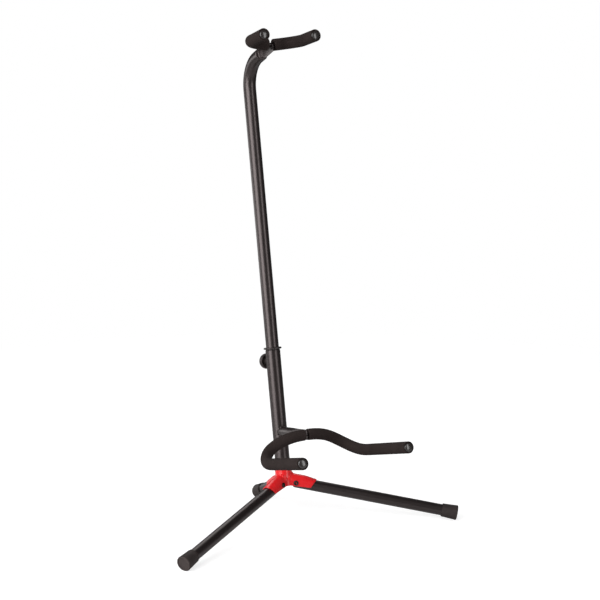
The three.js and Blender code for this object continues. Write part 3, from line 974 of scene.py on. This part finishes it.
class STAND_OT_hub(Operator):
    """Build the red hub: a sleeve and three channels for the legs, welded together"""

    bl_idname = "stand.hub"
    bl_label = "Hub"

    # The grain is the size of the net that the sheets and welds are fused on.
    grain = 0.00053
    cuts = 23
    sleeve_wall = 0.0014
    channel_bottom = 0.0476
    depth_inner = 0.0066
    depth_outer = 0.004
    overlap = 0.0004
    # Above this height a channel meets the sleeve, and below it the next channel.
    sleeve_start = -0.001
    weld_radius = 0.0018
    weld_reach = radians(78)
    fillet = 0.0105
    corner_bottom = -0.0095
    corner_height = 0.0125
    roof_rise = 0.0026
    roof_start = 0.031
    roof_length = 0.025

    def execute(self, context):
        tubes, hub = context.scene.stand_tubes, context.scene.stand_hub
        inner = tubes.post_radius + GAP
        outer = inner + self.sleeve_wall
        half = tubes.leg_radius + LEG_GAP + hub.sheet
        path = rounded_path([spot(0, 0, 0), spot(0, 0, hub.sleeve_height)])
        whole = swept_tube(path, SIDEWAYS, outer, inner)
        for name in LEG_ANGLES:
            shapes = self.channel(half, hub, outer), self.seam(half, outer), self.corner(half)
            for shape in shapes:
                move(shape, leg_frame(name))
                bmesh.ops.recalc_face_normals(shape, faces=shape.faces)
                part = bpy.data.meshes.new("part")
                shape.to_mesh(part)
                shape.free()
                whole.from_mesh(part)
                bpy.data.meshes.remove(part)
        piece = finish_piece(
            "welded_hub", whole, "red_paint", "hub_sleeve",
            *(f"leg_bracket_{name}" for name in LEG_ANGLES), keep_flat=False,
        )
        fuse = piece.modifiers.new("Weld together", "REMESH")
        fuse.mode, fuse.voxel_size, fuse.use_smooth_shade = "VOXEL", self.grain, True
        soften = piece.modifiers.new("Soften welds", "CORRECTIVE_SMOOTH")
        soften.rest_source, soften.use_only_smooth = "ORCO", True
        soften.iterations, soften.factor = 5, 0.5
        return {"FINISHED"}

    def channel(self, half, hub, sleeve):
        """A half-round sheet with straight sides, from the sleeve out to its slanted end."""
        bm = bmesh.new()
        top = bm.verts.new((0, -half, 0))
        bmesh.ops.spin(
            bm, geom=[top], axis=ALONG_LEG, angle=-pi, steps=TUBE_SIDES // 2, use_merge=False
        )
        feet = bmesh.ops.extrude_vert_indiv(bm, verts=loose_ends(bm))["verts"]
        bmesh.ops.translate(bm, vec=(0, 0, -self.depth_inner), verts=feet)
        grown = bmesh.ops.extrude_edge_only(bm, edges=list(bm.edges))["geom"]
        bmesh.ops.translate(bm, vec=ALONG_LEG, verts=kinds(grown, BMVert))
        lengthways = [edge for edge in bm.edges if edge.calc_length() > 0.5]
        bmesh.ops.subdivide_edges(bm, edges=lengthways, cuts=self.cuts, use_grid_fill=True)
        slant = (hub.channel_length - self.channel_bottom) / (half + self.depth_outer)
        for vert in bm.verts:
            share, across, up = vert.co
            begin = out_to(abs(across) / tan(HALF_TURN), up)
            if up * cos(LEG_DROP) - begin * sin(LEG_DROP) > self.sleeve_start:
                begin = on_post(across, up, sleeve - self.overlap)
            if up < 0:
                up *= 1 + (self.depth_outer / self.depth_inner - 1) * share
            end = hub.channel_length - (half - up) * slant
            out = begin + (end - begin) * share
            vert.co = (out, across, up + self.roof(out) * max(0.0, up) / half)
        bmesh.ops.recalc_face_normals(bm, faces=bm.faces)
        if max(bm.faces, key=lambda face: face.calc_center_median().z).normal.z < 0:
            bmesh.ops.reverse_faces(bm, faces=bm.faces)
        bmesh.ops.solidify(bm, geom=list(bm.faces), thickness=hub.sheet)
        return bm

    def roof(self, out):
        """How much higher a channel's roof is over its leg's inner end, which swings up there."""
        return self.roof_rise * (1 - smooth((out - self.roof_start) / self.roof_length))

    def seam(self, half, sleeve):
        """The run of weld where a channel meets the sleeve."""
        line = []
        for turn in between(-self.weld_reach, self.weld_reach, 48):
            across, up = half * sin(turn), (half + self.roof_rise) * cos(turn)
            line.append(Vector((on_post(across, up, sleeve - self.overlap / 2), across, up)))
        return bead(line, self.weld_radius)

    def corner(self, half):
        """The hollow corner of sheet between two neighbouring channels, below the sleeve."""
        vertex = half / sin(HALF_TURN)
        centre = Vector((vertex + self.fillet / sin(HALF_TURN), 0, 0))
        start = Matrix.Rotation(-HALF_TURN / 2, 3, "Z") @ Vector((self.fillet, 0, 0))
        bm = bmesh.new()
        first = bm.verts.new(centre - start)
        bmesh.ops.spin(
            bm, geom=[first], cent=centre, axis=UP, angle=HALF_TURN, steps=14, use_merge=False
        )
        ends = loose_ends(bm)
        back = bm.verts.new((vertex * 0.8, 0, 0))
        for vert in ends:
            bm.edges.new((vert, back))
        bmesh.ops.edgeloop_fill(bm, edges=list(bm.edges))
        top = bmesh.ops.extrude_face_region(bm, geom=list(bm.faces))["geom"]
        bmesh.ops.translate(bm, vec=UP * self.corner_height, verts=kinds(top, BMVert))
        bmesh.ops.translate(bm, vec=UP * self.corner_bottom, verts=bm.verts)
        # It stands upright on the post between this leg and the next one.
        move(bm, Matrix.Rotation(-LEG_DROP, 4, "Y") @ Matrix.Rotation(HALF_TURN, 4, "Z"))
        return bm


def bead(points, radius, closed=False):
    """A run of weld along a row of points, a little uneven as a hand-made one is."""
    count = len(points)
    path, length = [], 0.0
    for i, point in enumerate(points):
        before = points[i - 1] if closed or i else point
        after = points[(i + 1) % count] if closed or i < count - 1 else point
        path.append((point, (after - before).normalized(), length))
        length += (after - point).length

    def swell(i):
        return radius * (1 + 0.2 * sin(i * 1.1) + 0.08 * sin(i * 0.37))

    return sweep(hoops(path, UP + SIDEWAYS * 0.1, by_station(path, swell)), BEAD_SIDES, closed)


class STAND_OT_rivets(Operator):
    """Build the tubular rivets that the legs turn on"""

    bl_idname = "stand.rivets"
    bl_label = "Rivets"

    shaft = 0.0025
    bore = 0.0013
    head_height = 0.0018

    def execute(self, context):
        tubes, hub = context.scene.stand_tubes, context.scene.stand_hub
        reach = tubes.leg_radius + LEG_GAP + hub.sheet + GAP
        top, head = reach + self.head_height, hub.rivet_head
        upper = [
            (self.shaft, reach), *points(head, reach, (-0.2, 0), (0, 0.4)),
            *points(head, top, (-0.4, -0.5), (-1.2, 0)),
            *points(self.bore, top, (0.9, 0), (0.3, -0.3), (0, -1)),
        ]
        profile = [*((radius, -height) for radius, height in reversed(upper)), *upper]
        for name, place, _ in each_leg(tubes):
            bm = spun(profile, SMALL_SIDES, standing(ALONG_LEG * hub.pivot, ACROSS_LEG))
            finish_piece(
                f"pivot_rivet_{name}", bm, "rivet_steel", f"leg_rivet_{name}", place=place
            )
        return {"FINISHED"}


class STAND_OT_legs(Operator):
    """Build the three leg tubes"""

    bl_idname = "stand.legs"
    bl_label = "Legs"

    start = 0.0168

    def execute(self, context):
        tubes, hub = context.scene.stand_tubes, context.scene.stand_hub
        radius = tubes.leg_radius
        room = radius + LEG_GAP - GAP
        for name, place, length in each_leg(tubes):
            end = length - FOOT_BASE - GAP
            path = rounded_path([ALONG_LEG * self.start, ALONG_LEG * end])
            bm = swept_tube(path, ACROSS_LEG, radius, radius - tubes.wall)
            for vert in bm.verts:
                if vert.co.x < hub.pivot:
                    back = sqrt(max(0.0, room**2 - vert.co.y**2 - vert.co.z**2))
                    vert.co.x = max(self.start, hub.pivot - back)
            ease_edges(bm)
            finish_piece(
                f"leg_pipe_{name}", bm, "black_paint", f"leg_tube_{name}",
                body=f"leg_{name}", place=place,
            )
        return {"FINISHED"}


class STAND_OT_feet(Operator):
    """Build the rubber feet, each with the small flat that it stands on"""

    bl_idname = "stand.feet"
    bl_label = "Rubber Feet"

    # How deep the painted light on a foot's end reaches, and how squarely a face must face along
    # the leg to get it.
    lit_end_depth = 0.0015
    lit_end_facing = 0.8
    # The feet's flats stand this little above the floor, so that the two don't flicker.
    stand = 0.00001

    def execute(self, context):
        tubes, hub = context.scene.stand_tubes, context.scene.stand_hub
        first, last, long = hub.foot_start, hub.foot_end, hub.foot_length
        socket, flare = tubes.leg_radius + GAP, last - first
        profile = [
            *points(socket, 0, (0, 2.2), (0.7, 0.3), (0.9, 0)),
            *points(first, 0, (-0.3, 0), (0, 0.5), (0.1, 2.2)),
            (first + flare * 0.30, long * 0.36), (first + flare * 0.62, long * 0.68),
            *points(last, long, (-0.3, -3.6), (0, -2.1), (-0.2, -1.2), (-0.7, -0.5)),
            *points(last, long, (-1.4, -0.1), (-2, 0), (-2.5, -0.2), (-3, -0.9)),
            *points(0, long, (0, -0.9)), (0, long - FOOT_BASE), (socket, long - FOOT_BASE),
        ]
        for name, place, length in each_leg(tubes):
            bm = spun(profile, TUBE_SIDES, place @ standing(ALONG_LEG * (length - long), ALONG_LEG))
            cut = bmesh.ops.bisect_plane(
                bm, geom=[*bm.verts, *bm.edges, *bm.faces], dist=1e-6, plane_co=UP * self.stand,
                plane_no=UP, clear_inner=True,
            )["geom_cut"]
            bmesh.ops.holes_fill(bm, edges=kinds(cut, BMEdge), sides=0)
            foot = finish_piece(
                f"rubber_foot_{name}", bm, "foot_rubber", f"foot_cap_{name}",
                body=f"leg_{name}", place=Matrix.Identity(4),
            )
            # The end faces and the tops of the rims get a lighter copy of the rubber, as painted
            # light and a painted highlight.
            foot.data.materials.append(lit_end_rubber())
            end, along = place @ (ALONG_LEG * length), place.to_3x3() @ ALONG_LEG
            for face in foot.data.polygons:
                near = (end - face.center).dot(along) < self.lit_end_depth
                if near and face.normal.dot(along) > self.lit_end_facing:
                    face.material_index = 1
        return {"FINISHED"}


# ---- the stage


class STAND_OT_stage(Operator):
    """Build the floor, the studio lights and the camera"""

    bl_idname = "stand.stage"
    bl_label = "Stage"

    camera_place = Vector((-0.92025, -1.78282, 0.73484))
    camera_aim = Vector((0.02415, 0.04308, 0.37456))
    lens = 74.955
    floor_radius = 1.7
    floor_fade = (0.75, 1.65)
    # How bright the floor and the room look to each kind of ray, and the room's light on the stand.
    floor_glow = (("Is Glossy Ray", 0.08), ("Is Transmission Ray", 0.7), ("Is Camera Ray", 0.7))
    room_glow = (("Is Glossy Ray", 0.08), ("Is Transmission Ray", 1.0), ("Is Camera Ray", 1.0))
    room_level = 0.28

    def execute(self, context):
        scene = context.scene
        scene.view_settings.view_transform = "Standard"
        self.floor(scene.stand_colours)
        self.lamps()
        scene.world = self.world()
        data = bpy.data.cameras.new("photo_camera")
        data.lens, data.sensor_width = self.lens, 36
        data.clip_start, data.clip_end = 0.05, 60
        scene.camera = self.aimed("photo_camera", data, self.camera_place, self.camera_aim)
        return {"FINISHED"}

    def aimed(self, name, data, place, aim):
        """A camera or a lamp that looks from its place at another."""
        made = bpy.data.objects.new(name, data)
        made.location = place
        made.rotation_mode = "QUATERNION"
        made.rotation_quaternion = (Vector(aim) - Vector(place)).to_track_quat("-Z", "Y")
        bpy.context.scene.collection.objects.link(made)
        return made

    def floor(self, colours):
        """A round pale floor that fades into the white behind it and keeps the stand's shadow."""
        bm = bmesh.new()
        bmesh.ops.create_circle(bm, cap_ends=True, segments=96, radius=self.floor_radius)
        floor = Finish("pale_floor", colours.floor, 0.9)
        floor.set(Specular_IOR_Level=0.0, Emission_Color=(1, 1, 1, 1))
        floor.drive("Emission Strength", by_ray(floor.tree, 0.0, self.floor_glow))
        reach = floor.node("ShaderNodeVectorMath", {0: floor.places}, operation="LENGTH")
        edge = floor.spread(reach.outputs["Value"], 0, 1, *self.floor_fade)
        clear = floor.node("ShaderNodeBsdfTransparent").outputs[0]
        mix = floor.node("ShaderNodeMixShader", {"Fac": edge, 1: floor.shader.outputs[0], 2: clear})
        output = floor.tree.nodes["Material Output"]
        floor.tree.links.new(mix.outputs[0], output.inputs["Surface"])
        new_object("floor", bm, floor.material)

    def lamps(self):
        # name, place, aim, width, height, watts
        lamps = (
            ("left_softbox", (-2.13, -0.56, 1.0), (0, 0, 0.42), 1.9, 2.2, 52),
            ("back_left_softbox", (-1.3, 1.87, 0.34), (0, 0, 0.3), 2.6, 0.72, 9.4),
            ("right_softbox", (0.85, -2.03, 1.0), (0, 0, 0.52), 0.7, 1.9, 14),
            ("top_softbox", (0.6, 1.65, 1.75), (0, 0, 0.3), 1.2, 1.2, 8.5),
            ("high_left_softbox", (-1.65, -0.95, 2.05), (0, 0, 0.2), 1.6, 1.4, 14),
        )
        for name, place, aim, width, height, watts in lamps:
            data = bpy.data.lights.new(name, "AREA")
            data.shape, data.size, data.size_y, data.energy = "RECTANGLE", width, height, watts
            self.aimed(name, data, place, aim)

    def world(self):
        """A dim room that the camera sees as white, and reflections as pale."""
        world = bpy.data.worlds.new("studio")
        world.use_nodes = True
        shader = world.node_tree.nodes["Background"]
        shader.inputs["Color"].default_value = (1, 1, 1, 1)
        strength = by_ray(world.node_tree, self.room_level, self.room_glow)
        world.node_tree.links.new(strength, shader.inputs["Strength"])
        return world


class STAND_PT_panel(Panel):
    """Lists the stand's sizes, colours and build steps"""

    bl_idname = "STAND_PT_panel"
    bl_label = "Guitar Stand"
    bl_space_type = "VIEW_3D"
    bl_region_type = "UI"
    bl_category = "Guitar Stand"

    def draw(self, context):
        for step in BUILD_STEPS:
            self.layout.operator(step.bl_idname)
        for name, group in GROUPS.items():
            box = self.layout.box()
            for size in group.__annotations__:
                box.prop(getattr(context.scene, name), size)


BUILD_STEPS = (
    STAND_OT_stage, STAND_OT_post, STAND_OT_clamp, STAND_OT_mast, STAND_OT_bent_rods,
    STAND_OT_sleeves, STAND_OT_end_caps, STAND_OT_cradle_bracket, STAND_OT_hub, STAND_OT_rivets,
    STAND_OT_legs, STAND_OT_feet,
)
GROUPS = {
    "stand_tubes": TubeSizes, "stand_pads": PadSizes,
    "stand_hub": HubSizes, "stand_colours": StandColours,
}


def register():
    for item in (*GROUPS.values(), *BUILD_STEPS, STAND_PT_panel):
        bpy.utils.register_class(item)
    for name, group in GROUPS.items():
        setattr(bpy.types.Scene, name, PointerProperty(type=group))


def unregister():
    for name in GROUPS:
        delattr(bpy.types.Scene, name)
    for item in reversed((*GROUPS.values(), *BUILD_STEPS, STAND_PT_panel)):
        bpy.utils.unregister_class(item)


def main():
    register()
    bpy.ops.stand.stage()
    bpy.ops.stand.post()
    bpy.ops.stand.clamp()
    bpy.ops.stand.mast()
    bpy.ops.stand.bent_rods()
    bpy.ops.stand.sleeves()
    bpy.ops.stand.end_caps()
    bpy.ops.stand.cradle_bracket()
    bpy.ops.stand.hub()
    bpy.ops.stand.rivets()
    bpy.ops.stand.legs()
    bpy.ops.stand.feet()


if __name__ == "__main__":
    main()
